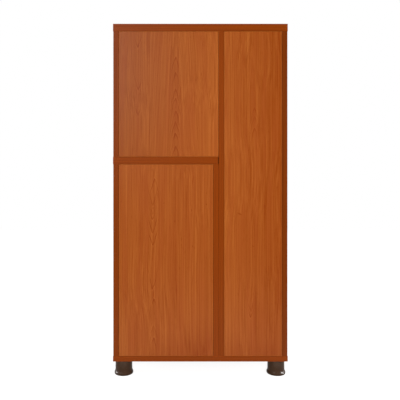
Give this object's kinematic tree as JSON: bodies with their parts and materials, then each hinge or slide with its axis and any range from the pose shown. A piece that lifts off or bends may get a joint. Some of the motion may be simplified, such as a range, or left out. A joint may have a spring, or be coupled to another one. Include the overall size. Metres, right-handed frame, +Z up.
{
  "type": "office cabinet",
  "caption": "Free-standing office cabinet: a square bay over a desk-height bay beside a full-height bay, closed by flush handle-less doors, on flared levelling feet.",
  "frame": {"origin": "on the floor, under the middle of the cabinet", "axes": "+Z up, -Y out of the doors, +X to the right as seen from the front"},
  "size_m": [0.6, 0.4, 1.211],
  "materials": {
    "cherry_laminate_board": "satin",
    "board_edge_band": "satin",
    "door_edge_band": "satin",
    "hardboard": "matt",
    "beech": "matt",
    "foot_plastic": "satin",
    "latch_plastic": "satin",
    "plunger_plastic": "satin",
    "nickel_plated_steel": "satin",
    "zinc_plated_steel": "satin",
    "die_cast_zinc": "matt"
  },
  "bodies": {
    "carcass": {"base_edge_bands": "board_edge_band", "base_panel": "cherry_laminate_board", "cam_bolts": "zinc_plated_steel", "cam_discs": "die_cast_zinc", "connector_bolts": "zinc_plated_steel", "divider_panel": "cherry_laminate_board", "dowels": "beech", "hinge_arms": "nickel_plated_steel", "hinge_mounting_plates": "nickel_plated_steel", "insert_nuts": "die_cast_zinc", "lower_back_panel": "hardboard", "lower_latch_housing": "latch_plastic", "lower_left_side_panel": "cherry_laminate_board", "lower_right_side_panel": "cherry_laminate_board", "lower_shelf": "cherry_laminate_board", "mid_edge_bands": "board_edge_band", "mid_panel": "cherry_laminate_board", "right_side_panel": "cherry_laminate_board", "shelf_edge_bands": "board_edge_band", "shelf_pins": "nickel_plated_steel", "tall_back_panel": "hardboard", "tall_latch_housing": "latch_plastic", "tall_lower_shelf": "cherry_laminate_board", "tall_upper_shelf": "cherry_laminate_board", "top_edge_bands": "board_edge_band", "top_panel": "cherry_laminate_board", "upper_back_panel": "hardboard", "upper_latch_housing": "latch_plastic", "upper_left_side_panel": "cherry_laminate_board", "upper_shelf": "cherry_laminate_board", "upright_edge_bands": "board_edge_band"},
    "upper_door": {"upper_door_edge_bands": "door_edge_band", "upper_door_hinge_cups": "nickel_plated_steel", "upper_door_hinge_pins": "nickel_plated_steel", "upper_door_panel": "cherry_laminate_board", "upper_door_strike_plate": "nickel_plated_steel"},
    "upper_plunger": {"upper_latch_plunger": "plunger_plastic"},
    "lower_door": {"lower_door_edge_bands": "door_edge_band", "lower_door_hinge_cups": "nickel_plated_steel", "lower_door_hinge_pins": "nickel_plated_steel", "lower_door_panel": "cherry_laminate_board", "lower_door_strike_plate": "nickel_plated_steel"},
    "lower_plunger": {"lower_latch_plunger": "plunger_plastic"},
    "tall_door": {"tall_door_edge_bands": "door_edge_band", "tall_door_hinge_cups": "nickel_plated_steel", "tall_door_hinge_pins": "nickel_plated_steel", "tall_door_panel": "cherry_laminate_board", "tall_door_strike_plate": "nickel_plated_steel"},
    "tall_plunger": {"tall_latch_plunger": "plunger_plastic"},
    "front_left_foot": {"front_left_foot": "foot_plastic", "front_left_foot_stud": "zinc_plated_steel"},
    "front_right_foot": {"front_right_foot": "foot_plastic", "front_right_foot_stud": "zinc_plated_steel"},
    "rear_left_foot": {"rear_left_foot": "foot_plastic", "rear_left_foot_stud": "zinc_plated_steel"},
    "rear_right_foot": {"rear_right_foot": "foot_plastic", "rear_right_foot_stud": "zinc_plated_steel"}
  },
  "joints": [
    {"name": "upper_door_hinge", "type": "hinge", "parent": "carcass", "child": "upper_door", "pos_m": [-0.25311, -0.1929, 0.97], "axis": [0, 0, -1], "range_deg": [0, 95]},
    {"name": "lower_door_hinge", "type": "hinge", "parent": "carcass", "child": "lower_door", "pos_m": [-0.25311, -0.1929, 0.399], "axis": [0, 0, -1], "range_deg": [0, 95]},
    {"name": "tall_door_hinge", "type": "hinge", "parent": "carcass", "child": "tall_door", "pos_m": [0.25311, -0.1929, 0.6275], "axis": [0, 0, 1], "range_deg": [0, 95]},
    {"name": "upper_latch_press", "type": "slide", "parent": "carcass", "child": "upper_plunger", "axis": [0, 1, 0], "range_m": [0, 0.003], "stiffness_N_per_m": 400, "springref_m": -0.006},
    {"name": "lower_latch_press", "type": "slide", "parent": "carcass", "child": "lower_plunger", "axis": [0, 1, 0], "range_m": [0, 0.003], "stiffness_N_per_m": 400, "springref_m": -0.006},
    {"name": "tall_latch_press", "type": "slide", "parent": "carcass", "child": "tall_plunger", "axis": [0, 1, 0], "range_m": [0, 0.003], "stiffness_N_per_m": 400, "springref_m": -0.006},
    {"name": "front_left_foot_level", "type": "slide", "parent": "carcass", "child": "front_left_foot", "axis": [0, 0, -1], "range_m": [0, 0.01]},
    {"name": "front_right_foot_level", "type": "slide", "parent": "carcass", "child": "front_right_foot", "axis": [0, 0, -1], "range_m": [0, 0.01]},
    {"name": "rear_left_foot_level", "type": "slide", "parent": "carcass", "child": "rear_left_foot", "axis": [0, 0, -1], "range_m": [0, 0.01]},
    {"name": "rear_right_foot_level", "type": "slide", "parent": "carcass", "child": "rear_right_foot", "axis": [0, 0, -1], "range_m": [0, 0.01]}
  ]
}
